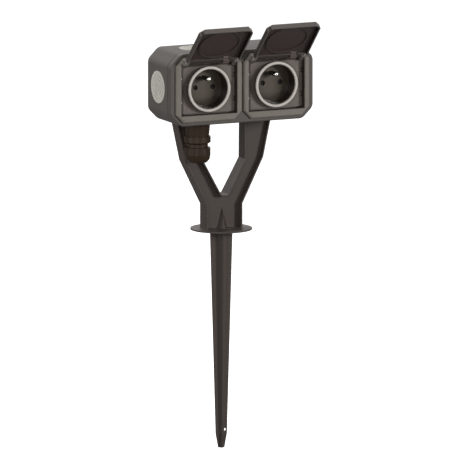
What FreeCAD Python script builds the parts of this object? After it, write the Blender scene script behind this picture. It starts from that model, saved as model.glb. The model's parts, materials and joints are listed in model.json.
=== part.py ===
import FreeCAD, Part
import os
import re
import Sketcher

# Two-gang weatherproof socket box on a forked ground spike.
# Millimetres. X runs to the right along the box, Y to the back, Z up.
# The origin lies on the spike's axis at the underside of the stop disc, which is ground level.
# Depths towards the front are counted forwards, so a forward distance of 10 is Y = -10.

SIZES = {
    # housing
    "box_width": 157.0,
    "box_height": 74.0,
    "socket_height": 152.3,
    "corner_cut": 11.5,
    "corner_round": 9.0,
    "box_back": 7.0,
    "rear_depth": 48.5,
    "wall": 2.4,
    "back_wall": 2.6,
    "back_round": 2.0,
    "gasket_thick": 0.8,
    "gasket_inset": 0.7,
    "gasket_lap": 0.6,
    "cover_depth": 8.2,
    "cover_floor": 2.7,
    "rim_round": 1.5,
    "window_width": 56.0,
    "window_height": 50.0,
    "window_cut": 8.0,
    # frames around the two sockets
    "pitch": 74.4,
    "frame_width": 72.7,
    "frame_height": 66.5,
    "frame_cut": 8.5,
    "frame_depth": 9.0,
    "frame_gap": 0.35,
    "frame_bevel": 1.5,
    "recess_width": 61.3,
    "recess_down": 26.0,
    "recess_up": 26.2,
    "recess_bevel": 0.7,
    "lug_rise": 12.1,
    "lug_height": 2.4,
    "lug_proud": 1.0,
    "lug_depth": 1.4,
    # socket front with its well
    "plate_thick": 2.0,
    "plate_gap": 0.3,
    "plate_gap_end": 1.2,
    "plate_corner": 1.2,
    "lug_slot": 1.2,
    "collar_radius": 22.8,
    "collar_rise": 5.6,
    "ring_radius": 23.2,
    "ring_thick": 1.8,
    "ring_round": 1.3,
    "ring_step": 0.6,
    "well_radius": 19.8,
    "well_depth": 15.0,
    "cup_radius": 21.6,
    "cup_floor": 1.5,
    "pole_pitch": 19.0,
    "pole_hole": 2.6,
    "boss_offset": 23.8,
    "boss_radius": 2.8,
    # contacts behind the well
    "shutter_room": 2.7,
    "shutter_gap": 0.25,
    "shutter_width": 27.0,
    "shutter_height": 7.2,
    "spring_length": 12.0,
    "spring_radius": 0.85,
    "spring_wire": 0.3,
    "spring_pitch": 1.15,
    "spring_seat_width": 5.0,
    "carrier_width": 42.0,
    "carrier_height": 38.0,
    "carrier_depth": 18.7,
    "carrier_cut": 5.0,
    "carrier_rim": 20.5,
    "carrier_rim_wall": 2.9,
    "wing_height": 8.0,
    "wing_thick": 4.0,
    "fit_gap": 0.15,
    "sleeve_radius": 3.3,
    "sleeve_bore": 2.5,
    "sleeve_length": 12.6,
    "sleeve_slit": 0.8,
    "terminal_width": 8.0,
    "terminal_down": 12.0,
    "terminal_up": 3.5,
    "terminal_thick": 6.0,
    "terminal_proud": 0.5,
    "terminal_screw_drop": 9.0,
    "wire_hole": 1.6,
    "earth_rise": 10.0,
    "earth_radius": 2.4,
    "earth_shoulder": 3.0,
    "earth_shoulder_sunk": 0.6,
    "earth_stem": 2.0,
    "earth_pin_reach": 14.0,
    "earth_screw_rise": 16.0,
    "strap_sunk": 0.7,
    "strap_thick": 1.0,
    "strap_width": 6.0,
    "strap_boss": 3.0,
    "strap_boss_depth": 4.8,
    "link_thick": 1.0,
    "link_width": 5.0,
    "link_end": 3.5,
    # lids
    "hinge_rise": 29.4,
    "hinge_proud": 3.0,
    "lid_open_angle": 135.0,
    "pin_radius": 1.25,
    "pin_press": 0.02,
    "pin_clearance": 0.05,
    "pin_inset": 0.2,
    "ear_radius": 2.7,
    "ear_inner": 25.4,
    "ear_width": 4.6,
    "ear_foot_drop": 3.7,
    "ear_foot_sunk": 2.5,
    "knuckle_offset": 15.2,
    "knuckle_width": 6.6,
    "knuckle_radius": 4.0,
    "knuckle_groove": 0.45,
    "barrel_radius": 2.2,
    "barrel_gap": 0.5,
    "lid_side_gap": 1.5,
    "lid_end_gap": 0.9,
    "lid_swing_gap": 0.3,
    "lid_proud": 1.0,
    "lid_thick": 1.8,
    "lid_depth": 5.7,
    "lid_wall": 1.5,
    "lid_notch": 1.5,
    "lid_corner": 5.0,
    "lid_round": 1.0,
    "seal_width": 2.2,
    "seal_thick": 1.4,
    # membrane entries
    "entry_forward": 18.5,
    "membrane_radius": 16.4,
    "membrane_seat": 1.2,
    "membrane_neck": 13.4,
    "membrane_neck_wall": 2.0,
    "membrane_lip": 14.6,
    "membrane_lip_thick": 1.2,
    "membrane_groove": 0.35,
    "membrane_step": 4.0,
    "rubber_gap": 0.1,
    # cable gland
    "gland_forward": 24.0,
    "gland_thread": 10.0,
    "gland_seal_radius": 12.5,
    "gland_seal_thick": 1.0,
    "gland_top_radius": 12.9,
    "gland_waist_radius": 11.6,
    "gland_waist_drop": 13.8,
    "gland_collar_radius": 13.3,
    "gland_collar_height": 5.8,
    "gland_neck_radius": 10.6,
    "gland_neck_height": 5.2,
    "gland_nose_radius": 10.2,
    "gland_nose_length": 9.0,
    "gland_bore": 6.6,
    "gland_mouth_radius": 9.2,
    "gland_mouth_depth": 7.0,
    "gland_spigot": 8.9,
    "locknut_flats": 24.0,
    "locknut_thick": 5.0,
    "bush_bore": 5.0,
    "bush_nose": 3.5,
    "bush_nose_radius": 7.5,
    "nut_radius": 13.1,
    "nut_length": 15.1,
    "nut_dome": 7.6,
    "nut_dome_radius": 9.6,
    "nut_end_wall": 1.8,
    "nut_cone": 3.5,
    "nut_gap": 0.3,
    "nut_rib_radius": 0.35,
    "nut_rib_count": 20.0,
    # screws
    "screw_radius": 1.5,
    "screw_head": 3.1,
    "screw_head_height": 1.5,
    "screw_length": 15.0,
    "screw_slot": 0.8,
    "screw_slot_depth": 0.7,
    "screw_gap": 0.05,
    "screw_hole_gap": 0.3,
    "screw_offset_x": 27.5,
    "screw_offset_z": 27.2,
    "post_radius": 4.2,
    "small_screw": 1.25,
    "small_head": 2.4,
    "small_length": 9.5,
    "fork_screw": 1.75,
    "fork_head": 3.5,
    "fork_head_height": 2.2,
    "fork_length": 12.0,
    "washer_radius": 4.2,
    "washer_thick": 0.8,
    "fork_boss": 4.2,
    "fork_boss_length": 8.0,
    # ground spike
    "arm_inner": 22.7,
    "arm_outer": 52.6,
    "kink_inner_height": 71.0,
    "kink_outer": 42.8,
    "kink_outer_height": 72.0,
    "vee_half": 3.3,
    "vee_height": 35.5,
    "vee_round": 3.5,
    "neck_half": 19.5,
    "neck_height": 26.2,
    "rib_thick": 1.3,
    "web_thick": 3.0,
    "column_depth": 17.5,
    "arm_depth": 14.0,
    "tab_width": 18.0,
    "tab_thick": 3.0,
    "tab_height": 43.0,
    "tab_foot": 22.0,
    "tab_slope": 11.0,
    "tab_hole_low": 12.7,
    "tab_hole_high": 34.7,
    "disc_radius": 31.15,
    "disc_thick": 1.5,
    "blade_half": 11.9,
    "blade_half_low": 5.9,
    "blade_side": 10.0,
    "blade_side_low": 4.8,
    "blade_edge": 3.2,
    "blade_edge_low": 2.2,
    "root_share": 0.45,
    "root_share_side": 0.3,
    "blade_length": 208.0,
    "spike_length": 222.0,
    "tip_half": 3.2,
    "tip_side": 2.9,
    "tip_edge": 1.8,
    "gusset_height": 23.4,
    "gusset_half": 7.6,
    "gusset_side": 8.8,
    "gusset_top": 0.6,
    "gusset_top_side": 1.7,
    "tip_hole": 1.5,
    "tip_hole_wall": 0.6,
    "tip_hole_drop": 204.0,
}

document = FreeCAD.newDocument("garden_socket")
sheet = document.addObject("Spreadsheet::Sheet", "Sizes")
for row, (name, number) in enumerate(SIZES.items(), start=1):
    sheet.set(f"A{row}", name)
    sheet.set(f"B{row}", str(number))
    sheet.setAlias(f"B{row}", name)
document.recompute()

WORD = re.compile(r"[a-z_]+")
SIDES = {"left": "-1", "right": "1"}
FRONTWARDS = FreeCAD.Rotation(FreeCAD.Vector(1, 0, 0), 90)
BACKWARDS = FreeCAD.Rotation(FreeCAD.Vector(1, 0, 0), -90)
FACING_X = FreeCAD.Rotation(0.5, 0.5, 0.5, 0.5)
LEFTWARDS = FreeCAD.Rotation(FreeCAD.Vector(0, 1, 0), -90)
UPSIDE_DOWN = FreeCAD.Rotation(FreeCAD.Vector(0, 1, 0), 180)

# Planes across the depth of the assembly, as forward distances
REAR_FRONT = "(rear_depth - box_back)"
SEAM = f"({REAR_FRONT} + gasket_thick)"
SEAT = f"({SEAM} + cover_floor)"
FRAME_FRONT = f"({SEAT} + frame_depth)"
PLATE_FRONT = f"({SEAT} + plate_thick)"
COLLAR_FRONT = f"({PLATE_FRONT} + collar_rise)"
RING_FRONT = f"({COLLAR_FRONT} + ring_thick)"
WELL_FLOOR = f"({RING_FRONT} - well_depth)"
CUP_BACK = f"({WELL_FLOOR} - cup_floor)"
CARRIER_FRONT = f"({CUP_BACK} - shutter_room)"
CARRIER_BACK = f"({CARRIER_FRONT} - carrier_depth)"
TERMINAL_BACK = f"({CARRIER_BACK} - terminal_proud)"
TERMINAL_FRONT = f"({TERMINAL_BACK} + terminal_thick)"
STRAP_BACK = f"({CARRIER_BACK} + strap_sunk)"
HINGE_FORWARD = f"({FRAME_FRONT} + hinge_proud)"
BOX_BOTTOM = "(socket_height - box_height / 2)"
BOX_TOP = "(socket_height + box_height / 2)"
LID_START = "(knuckle_radius + lid_swing_gap)"
LID_END = "(hinge_rise + recess_down - lid_end_gap)"
LID_HALF = "(recess_width / 2 - lid_side_gap)"


def link(text):
    """Point each size's name in an expression at its cell."""
    return WORD.sub(lambda word: f"Sizes.{word[0]}" if word[0] in SIZES else word[0], str(text))


def bind(item, target, text):
    item.setExpression(target, link(text))


def place(item, x="0", y="0", z="0", turn=None):
    """Stand an item at a place worked out from the sizes, turned if a rotation is given."""
    if turn is not None:
        item.Placement = FreeCAD.Placement(FreeCAD.Vector(), turn)
    bind(item, "Placement.Base.x", x)
    bind(item, "Placement.Base.y", y)
    bind(item, "Placement.Base.z", z)
    return item


def new_body(label):
    body = document.addObject("PartDesign::Body", label)
    body.Label = label
    return body


def sketch(body, role, offset="0"):
    """A sketch on one of the body's own planes, moved along the plane's normal.

    XZ_Plane looks along Y with its normal to the front, so its offset is a forward distance.
    """
    drawing = body.newObject("Sketcher::SketchObject", f"{body.Label}_sketch")
    plane = next(item for item in body.Origin.OriginFeatures if item.Role == role)
    drawing.AttachmentSupport = [(plane, "")]
    drawing.MapMode = "FlatFace"
    bind(drawing, "AttachmentOffset.Base.z", offset)
    return drawing


def locate(drawing, geometry, point, across, up):
    """Hold a point of the sketch at two expressions, measured from the sketch's origin."""
    for kind, text in (("DistanceX", across), ("DistanceY", up)):
        number = drawing.addConstraint(Sketcher.Constraint(kind, -1, 1, geometry, point, 1.0))
        bind(drawing, f"Constraints[{number}]", text)


def outline(drawing, corners):
    """A closed outline of straight sides through corners given as pairs of expressions."""
    first = drawing.GeometryCount
    count = len(corners)
    spread = [FreeCAD.Vector(10, 0, 0)]
    step = FreeCAD.Rotation(FreeCAD.Vector(0, 0, 1), 360 / count)
    while len(spread) <= count:
        spread.append(step.multVec(spread[-1]))
    for start, end in zip(spread, spread[1:]):
        drawing.addGeometry(Part.LineSegment(start, end), False)
    for number in range(count):
        following = first + (number + 1) % count
        drawing.addConstraint(Sketcher.Constraint("Coincident", first + number, 2, following, 1))
    for number, (across, up) in enumerate(corners):
        locate(drawing, first + number, 1, across, up)
    return drawing


def circle(drawing, radius, across="0", up="0"):
    shape = Part.Circle(FreeCAD.Vector(), FreeCAD.Vector(0, 0, 1), 1.0)
    geometry = drawing.addGeometry(shape, False)
    locate(drawing, geometry, 3, across, up)
    number = drawing.addConstraint(Sketcher.Constraint("Radius", geometry, 1.0))
    bind(drawing, f"Constraints[{number}]", radius)
    return drawing


def rectangle(drawing, left, right, low, high):
    return outline(drawing, [(left, low), (right, low), (right, high), (left, high)])


def octagon(drawing, half_x, half_z, cut, centre="0"):
    """A rectangle with its four corners cut at 45 degrees."""
    right, left = f"{centre} + {half_x}", f"{centre} - {half_x}"
    return outline(drawing, [
        (f"{left} + {cut}", f"-{half_z}"),
        (f"{right} - {cut}", f"-{half_z}"),
        (right, f"-{half_z} + {cut}"),
        (right, f"{half_z} - {cut}"),
        (f"{right} - {cut}", half_z),
        (f"{left} + {cut}", half_z),
        (left, f"{half_z} - {cut}"),
        (left, f"-{half_z} + {cut}"),
    ])


def pad(body, drawing, length, both_ways=False):
    feature = body.newObject("PartDesign::Pad", f"{body.Label}_pad")
    feature.Profile = drawing
    feature.Midplane = both_ways
    bind(feature, "Length", length)
    return feature


def pocket(body, drawing, length, forwards=False, both_ways=False):
    """Cut a sketch's outline, against its normal unless forwards is asked for."""
    feature = body.newObject("PartDesign::Pocket", f"{body.Label}_pocket")
    feature.Profile = drawing
    feature.Midplane = both_ways
    feature.Reversed = forwards
    bind(feature, "Length", length)
    return feature


def revolve(body, drawing):
    """Turn a profile a full circle about the sketch's upright axis."""
    feature = body.newObject("PartDesign::Revolution", f"{body.Label}_revolution")
    feature.Profile = drawing
    feature.ReferenceAxis = (drawing, ["V_Axis"])
    feature.Angle = 360.0
    return feature


def edges_of(feature, wanted):
    """Names of the feature's edges that the test accepts."""
    document.recompute()
    return [f"Edge{number}" for number, edge in enumerate(feature.Shape.Edges, 1) if wanted(edge)]


def soften(body, kind, feature, size, wanted):
    """Round or bevel the chosen edges; kind is Fillet or Chamfer."""
    names = edges_of(feature, wanted)
    dressed = body.newObject(f"PartDesign::{kind}", f"{body.Label}_{kind.lower()}")
    dressed.Base = (feature, names)
    bind(dressed, "Radius" if kind == "Fillet" else "Size", size)
    return dressed


def along(edge, axis):
    """True for a straight edge that runs along the axis."""
    if edge.Curve.TypeId != "Part::GeomLine":
        return False
    return abs(abs(edge.Curve.Direction.dot(axis)) - 1) < 1e-6


def in_plane(edge, axis, level):
    """True for an edge that lies in the plane across the axis at the level."""
    return all(abs(vertex.Point.dot(axis) - level) < 1e-4 for vertex in edge.Vertexes)


X_AXIS = FreeCAD.Vector(1, 0, 0)
Y_AXIS = FreeCAD.Vector(0, 1, 0)


def frontmost(feature):
    document.recompute()
    return feature.Shape.BoundBox.YMin


def cylinder(label, radius, height):
    item = document.addObject("Part::Cylinder", label)
    bind(item, "Radius", radius)
    bind(item, "Height", height)
    return item


def screw_group(label, spots, turn, radius, head, head_height, length):
    """Slotted screws, each with its head's seat at a spot and its head aimed by the turn."""
    screws = []
    for spot in spots:
        shank = place(cylinder(f"{label}_shank", radius, length), z=f"-({length})")
        top = cylinder(f"{label}_head", head, head_height)
        whole = document.addObject("Part::Fuse", f"{label}_blank")
        whole.Base = top
        whole.Tool = shank
        slot = document.addObject("Part::Box", f"{label}_slot")
        bind(slot, "Length", f"2 * {head}")
        bind(slot, "Width", "screw_slot")
        bind(slot, "Height", "screw_slot_depth")
        place(slot, f"-{head}", "-screw_slot / 2", f"{head_height} - screw_slot_depth")
        screw = document.addObject("Part::Cut", f"{label}_screw")
        screw.Base = whole
        screw.Tool = slot
        screws.append(place(screw, *spot, turn=turn))
    return gather(label, screws)


def gather(label, pieces):
    group = document.addObject("Part::Compound", label)
    group.Label = label
    group.Links = pieces
    return group


def combine(kind, label, pieces):
    """Join or intersect several shapes; kind is MultiFuse or MultiCommon."""
    item = document.addObject(f"Part::{kind}", label)
    item.Shapes = pieces
    item.Refine = True
    return item


def subtract(label, base, tool):
    item = document.addObject("Part::Cut", label)
    item.Base = base
    item.Tool = tool
    item.Refine = True
    return item


# Housing

def corner_spots():
    """The four cover screws, at the outer corners of the two frames."""
    reach = "(pitch / 2 + screw_offset_x)"
    return [(f"{side} * {reach}", f"{level} * screw_offset_z") for side in ("-1", "1") for level in ("-1", "1")]


def fork_spots():
    """The four screws that hold the box on the fork, two on each arm, from the box's middle."""
    levels = ("tab_hole_low", "tab_hole_high")
    return [(f"{side} * pitch / 2", f"{level} - box_height / 2") for side in ("-1", "1") for level in levels]


def make_rear_box():
    body = new_body("rear_box")
    drawing = octagon(sketch(body, "XZ_Plane", "-box_back"), "box_width / 2", "box_height / 2", "corner_cut")
    block = pad(body, drawing, "rear_depth")
    rounded = soften(body, "Fillet", block, "corner_round", lambda edge: along(edge, Y_AXIS))
    document.recompute()
    back = rounded.Shape.BoundBox.YMax
    soften(body, "Fillet", rounded, "back_round", lambda edge: in_plane(edge, Y_AXIS, back))
    inner_cut = "(corner_cut - wall * (2 - sqrt(2)))"
    drawing = octagon(sketch(body, "XZ_Plane", REAR_FRONT), "(box_width / 2 - wall)", "(box_height / 2 - wall)",
                      inner_cut)
    pocket(body, drawing, "rear_depth - back_wall")
    posts = sketch(body, "XZ_Plane", "back_wall / 2 - box_back")
    for across, up in corner_spots():
        circle(posts, "post_radius", across, up)
    pad(body, posts, "rear_depth - back_wall / 2")
    bosses = sketch(body, "XZ_Plane", "back_wall / 2 - box_back")
    for across, up in fork_spots():
        circle(bosses, "fork_boss", across, up)
    pad(body, bosses, "back_wall / 2 + fork_boss_length")
    pilots = sketch(body, "XZ_Plane", REAR_FRONT)
    for across, up in corner_spots():
        circle(pilots, "screw_radius + screw_gap", across, up)
    pocket(body, pilots, "screw_length")
    holes = sketch(body, "XZ_Plane", "-box_back")
    for across, up in fork_spots():
        circle(holes, "fork_screw + screw_gap", across, up)
    pocket(body, holes, "fork_length - tab_thick", forwards=True)
    for radius, depth in (("membrane_radius + rubber_gap", "membrane_seat"),
                          ("membrane_neck + rubber_gap", "wall + 1")):
        side = circle(sketch(body, "YZ_Plane", "-box_width / 2"), radius, "-entry_forward")
        pocket(body, side, depth, forwards=True)
        top = circle(sketch(body, "XY_Plane", "box_height / 2"), radius, "-pitch / 2", "-entry_forward")
        pocket(body, top, depth)
    gland = sketch(body, "XY_Plane", "-box_height / 2")
    circle(gland, "gland_thread + screw_hole_gap", "-pitch / 2", "-gland_forward")
    pocket(body, gland, "wall + 1", forwards=True)
    return place(body, z="socket_height")


def make_cover_gasket():
    body = new_body("cover_gasket")
    drawing = sketch(body, "XZ_Plane", REAR_FRONT)
    for inset in ("gasket_inset", "(wall + gasket_lap)"):
        octagon(drawing, f"(box_width / 2 - {inset})", f"(box_height / 2 - {inset})",
                f"(corner_cut - {inset} * (2 - sqrt(2)))")
    pad(body, drawing, "gasket_thick")
    return place(body, z="socket_height")


def make_front_cover():
    body = new_body("front_cover")
    drawing = octagon(sketch(body, "XZ_Plane", SEAM), "box_width / 2", "box_height / 2", "corner_cut")
    block = pad(body, drawing, "cover_depth")
    rounded = soften(body, "Fillet", block, "corner_round", lambda edge: along(edge, Y_AXIS))
    front = frontmost(rounded)
    soften(body, "Fillet", rounded, "rim_round", lambda edge: in_plane(edge, Y_AXIS, front))
    nests = sketch(body, "XZ_Plane", f"{SEAM} + cover_depth")
    windows = sketch(body, "XZ_Plane", SEAT)
    for sign in SIDES.values():
        octagon(nests, "(frame_width / 2 + frame_gap)", "(frame_height / 2 + frame_gap)", "frame_cut",
                f"{sign} * pitch / 2")
        octagon(windows, "window_width / 2", "window_height / 2", "window_cut", f"{sign} * pitch / 2")
    pocket(body, nests, "cover_depth - cover_floor")
    pocket(body, windows, "cover_floor + 1")
    for radius, depth in (("screw_head + screw_hole_gap", "screw_head_height"),
                          ("screw_radius + screw_hole_gap", "cover_floor + 1")):
        holes = sketch(body, "XZ_Plane", SEAT)
        for across, up in corner_spots():
            circle(holes, radius, across, up)
        pocket(body, holes, depth)
    return place(body, z="socket_height")


def make_cover_screws():
    seat = f"-({SEAT} - screw_head_height)"
    spots = [(across, seat, f"{up} + socket_height") for across, up in corner_spots()]
    return screw_group("cover_screws", spots, FRONTWARDS, "screw_radius", "screw_head", "screw_head_height",
                       "screw_length")


def make_membrane(label, turn, x, y, z):
    """Cut-to-size rubber entry: a face set flush in the wall, a neck and a lip behind it."""
    body = new_body(label)
    behind = "-(wall + membrane_lip_thick)"
    inner_neck = "membrane_neck - membrane_neck_wall"
    profile = [
        ("0", "-membrane_seat"),
        (inner_neck, "-membrane_seat"),
        (inner_neck, behind),
        ("membrane_lip", behind),
        ("membrane_lip", "-wall"),
        ("membrane_neck", "-wall"),
        ("membrane_neck", "-membrane_seat"),
        ("membrane_radius", "-membrane_seat"),
        ("membrane_radius", "0"),
    ]
    for number in (3, 2, 1):
        for edge, level in (("+", "0"), ("+", "-"), ("-", "-"), ("-", "0")):
            depth = "0" if level == "0" else "-membrane_groove"
            profile.append((f"{number} * membrane_step {edge} membrane_groove", depth))
    profile.append(("0", "0"))
    revolve(body, outline(sketch(body, "XZ_Plane"), profile))
    return place(body, x, y, z, turn)


# Frame, socket and lid of one gang, in the gang's own coordinates

def make_frame(side, sign):
    body = new_body(f"frame_{side}")
    drawing = octagon(sketch(body, "XZ_Plane", SEAT), "frame_width / 2", "frame_height / 2", "frame_cut")
    block = pad(body, drawing, "frame_depth")
    front = frontmost(block)
    soften(body, "Chamfer", block, "frame_bevel", lambda edge: in_plane(edge, Y_AXIS, front))
    drawing = rectangle(sketch(body, "XZ_Plane", FRAME_FRONT), "-recess_width / 2", "recess_width / 2",
                        "-recess_down", "recess_up")
    opened = pocket(body, drawing, "frame_depth + 1")
    document.recompute()
    inside = SIZES["recess_width"] / 2 + 0.01
    soften(body, "Chamfer", opened, "recess_bevel", lambda edge: in_plane(edge, Y_AXIS, front)
           and abs(edge.CenterOfMass.x) < inside and abs(edge.CenterOfMass.z) < SIZES["recess_up"] + 0.01)
    for ear in ("-1", "1"):
        middle = f"{ear} * (ear_inner + ear_width / 2)"
        root = rectangle(sketch(body, "YZ_Plane", middle), f"-{HINGE_FORWARD}", f"-{FRAME_FRONT} + ear_foot_sunk",
                         "recess_up", "hinge_rise + ear_radius")
        pad(body, root, "ear_width", both_ways=True)
        head = circle(sketch(body, "YZ_Plane", middle), "ear_radius", f"-{HINGE_FORWARD}", "hinge_rise")
        pad(body, head, "ear_width", both_ways=True)
    feet = sketch(body, "XZ_Plane", PLATE_FRONT)
    for ear in ("-1", "1"):
        rectangle(feet, f"{ear} * ear_inner", f"{ear} * (recess_width / 2 + lug_proud)",
                  "recess_up - ear_foot_drop", "recess_up + frame_bevel")
    pad(body, feet, f"{FRAME_FRONT} - ear_foot_sunk - {PLATE_FRONT}")
    knuckle = circle(sketch(body, "YZ_Plane", "knuckle_offset"), "knuckle_radius", f"-{HINGE_FORWARD}",
                     "hinge_rise")
    pad(body, knuckle, "knuckle_width", both_ways=True)
    grooves = sketch(body, "YZ_Plane", "knuckle_offset")
    for angle in ("150", "180", "210"):
        circle(grooves, "knuckle_groove", f"knuckle_radius * cos({angle}) - {HINGE_FORWARD}",
               f"hinge_rise + knuckle_radius * sin({angle})")
    pocket(body, grooves, "knuckle_width + 1", both_ways=True)
    bore = circle(sketch(body, "YZ_Plane"), "pin_radius + pin_press", f"-{HINGE_FORWARD}", "hinge_rise")
    pocket(body, bore, "2 * (ear_inner + ear_width) + 1", both_ways=True)
    lugs = sketch(body, "XZ_Plane", PLATE_FRONT)
    for across in ("-1", "1"):
        for up in ("-1", "1"):
            inner = f"{across} * (recess_width / 2 - lug_proud)"
            outer = f"{across} * (recess_width / 2 + lug_proud)"
            low = f"{up} * lug_rise - lug_height / 2"
            high = f"{up} * lug_rise + lug_height / 2"
            rectangle(lugs, inner, outer, low, high)
    pad(body, lugs, "lug_depth")
    return place(body, f"{sign} * pitch / 2", "0", "socket_height")


def make_socket_front(side, sign):
    body = new_body(f"socket_front_{side}")
    drawing = rectangle(sketch(body, "XZ_Plane", SEAT), "-(recess_width / 2 - plate_gap)",
                        "recess_width / 2 - plate_gap", "-(recess_down - plate_gap_end)",
                        "recess_up - plate_gap_end")
    plate = pad(body, drawing, "plate_thick")
    soften(body, "Chamfer", plate, "plate_corner", lambda edge: along(edge, Y_AXIS))
    slots = sketch(body, "XZ_Plane", PLATE_FRONT)
    for across in ("-1", "1"):
        for up in ("-1", "1"):
            for edge in ("-1", "1"):
                middle = f"{up} * lug_rise + {edge} * (lug_height + lug_slot) / 2"
                rectangle(slots, f"{across} * (recess_width / 2 - lug_proud - lug_slot)",
                          f"{across} * recess_width / 2", f"{middle} - lug_slot / 2", f"{middle} + lug_slot / 2")
    pocket(body, slots, "plate_thick + 1")
    pad(body, circle(sketch(body, "XZ_Plane", SEAT), "collar_radius"), "plate_thick + collar_rise")
    pad(body, circle(sketch(body, "XZ_Plane", CUP_BACK), "cup_radius"), f"{PLATE_FRONT} - {CUP_BACK}")
    bosses = sketch(body, "XZ_Plane", CARRIER_FRONT)
    for across in ("-1", "1"):
        circle(bosses, "boss_radius", f"{across} * boss_offset")
    pad(body, bosses, f"{PLATE_FRONT} - {CARRIER_FRONT}")
    pocket(body, circle(sketch(body, "XZ_Plane", COLLAR_FRONT), "well_radius"), "well_depth - ring_thick")
    holes = sketch(body, "XZ_Plane", WELL_FLOOR)
    for across in ("-1", "1"):
        circle(holes, "pole_hole", f"{across} * pole_pitch / 2")
    circle(holes, "earth_shoulder + screw_gap", "0", "earth_rise")
    pocket(body, holes, "cup_floor + 1")
    pilots = sketch(body, "XZ_Plane", CARRIER_FRONT)
    for across in ("-1", "1"):
        circle(pilots, "small_screw + screw_gap", f"{across} * boss_offset")
    pocket(body, pilots, "small_length", forwards=True)
    return place(body, f"{sign} * pitch / 2", "0", "socket_height")


def make_ring_seal(side, sign):
    body = new_body(f"ring_seal_{side}")
    drawing = circle(sketch(body, "XZ_Plane", COLLAR_FRONT), "ring_radius")
    circle(drawing, "well_radius + ring_step")
    ring = pad(body, drawing, "ring_thick")
    front = frontmost(ring)
    soften(body, "Fillet", ring, "ring_round", lambda edge: in_plane(edge, Y_AXIS, front))
    return place(body, f"{sign} * pitch / 2", "0", "socket_height")


def make_contact_carrier(side, sign):
    """Moulding behind the well that holds the contacts, with the shutter's room in front."""
    body = new_body(f"contact_carrier_{side}")
    drawing = octagon(sketch(body, "XZ_Plane", CARRIER_BACK), "carrier_width / 2", "carrier_height / 2",
                      "carrier_cut")
    pad(body, drawing, "carrier_depth")
    wings = rectangle(sketch(body, "XZ_Plane", f"{CARRIER_FRONT} - wing_thick"), "-(boss_offset + boss_radius)",
                      "boss_offset + boss_radius", "-wing_height / 2", "wing_height / 2")
    pad(body, wings, "wing_thick")
    rim = circle(sketch(body, "XZ_Plane", CARRIER_FRONT), "carrier_rim")
    circle(rim, "carrier_rim - carrier_rim_wall")
    pad(body, rim, "shutter_room")
    seat = rectangle(sketch(body, "XZ_Plane", CARRIER_FRONT), "-spring_seat_width / 2", "spring_seat_width / 2",
                     "-(carrier_rim - carrier_rim_wall / 2)", "-(shutter_height / 2 + spring_length)")
    pad(body, seat, "shutter_room")
    sleeves = sketch(body, "XZ_Plane", CARRIER_FRONT)
    chambers = sketch(body, "XZ_Plane", CARRIER_BACK)
    for sense in ("-1", "1"):
        middle = f"{sense} * pole_pitch / 2"
        circle(sleeves, "sleeve_radius + fit_gap", middle)
        near = f"{sense} * (terminal_up + fit_gap)"
        far = f"-{sense} * (terminal_down + fit_gap)"
        rectangle(chambers, f"{middle} - terminal_width / 2 - fit_gap", f"{middle} + terminal_width / 2 + fit_gap",
                  far, near)
    pocket(body, sleeves, f"{CARRIER_FRONT} - {TERMINAL_FRONT}")
    pocket(body, chambers, f"{TERMINAL_FRONT} - {CARRIER_BACK} + fit_gap", forwards=True)
    pocket(body, circle(sketch(body, "XZ_Plane", CARRIER_FRONT), "earth_stem + screw_gap", "0", "earth_rise"),
           "carrier_depth + 1")
    strap = rectangle(sketch(body, "XZ_Plane", CARRIER_BACK), "-(strap_width / 2 + fit_gap)",
                      "strap_width / 2 + fit_gap", "earth_rise - strap_width / 2 - fit_gap",
                      "carrier_height / 2 + 1")
    pocket(body, strap, "strap_sunk + strap_thick + fit_gap", forwards=True)
    boss = circle(sketch(body, "XZ_Plane", CARRIER_BACK), "strap_boss + fit_gap", "0", "earth_screw_rise")
    pocket(body, boss, "strap_boss_depth + fit_gap", forwards=True)
    holes = sketch(body, "XZ_Plane", CARRIER_FRONT)
    for across in ("-1", "1"):
        circle(holes, "small_screw + screw_hole_gap", f"{across} * boss_offset")
    pocket(body, holes, "wing_thick + 1")
    return place(body, f"{sign} * pitch / 2", "0", "socket_height")


def make_carrier_screws(side, sign):
    seat = f"-({CARRIER_FRONT} - wing_thick)"
    spots = [(f"{sign} * pitch / 2 + {across} * boss_offset", seat, "socket_height") for across in ("-1", "1")]
    return screw_group(f"carrier_screws_{side}", spots, BACKWARDS, "small_screw", "small_head",
                       "screw_head_height", "small_length")


def make_shutter(side, sign):
    body = new_body(f"shutter_{side}")
    drawing = rectangle(sketch(body, "XZ_Plane", f"{CARRIER_FRONT} + shutter_gap"), "-shutter_width / 2",
                        "shutter_width / 2", "-shutter_height / 2", "shutter_height / 2")
    slab = pad(body, drawing, "shutter_room - 2 * shutter_gap")
    front = frontmost(slab)
    soften(body, "Chamfer", slab, "(shutter_room - 2 * shutter_gap) / 3",
           lambda edge: in_plane(edge, Y_AXIS, front) and along(edge, X_AXIS))
    return place(body, f"{sign} * pitch / 2", "0", "socket_height")


def make_shutter_spring(side, sign):
    """Light coil spring that lifts the shutter back over the pole holes."""
    label = f"shutter_spring_{side}"
    path = document.addObject("Part::Helix", f"{label}_path")
    bind(path, "Radius", "spring_radius")
    bind(path, "Pitch", "spring_pitch")
    bind(path, "Height", "spring_length - 2 * spring_wire")
    section = document.addObject("Part::Circle", f"{label}_section")
    bind(section, "Radius", "spring_wire / 2")
    place(section, "spring_radius", turn=FRONTWARDS)
    coil = document.addObject("Part::Sweep", label)
    coil.Label = label
    coil.Sections = [section]
    coil.Spine = (path, [])
    coil.Solid = True
    coil.Frenet = True
    return place(coil, f"{sign} * pitch / 2", f"-({CARRIER_FRONT} + shutter_room / 2)",
                 "socket_height - shutter_height / 2 - spring_length + spring_wire")


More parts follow.
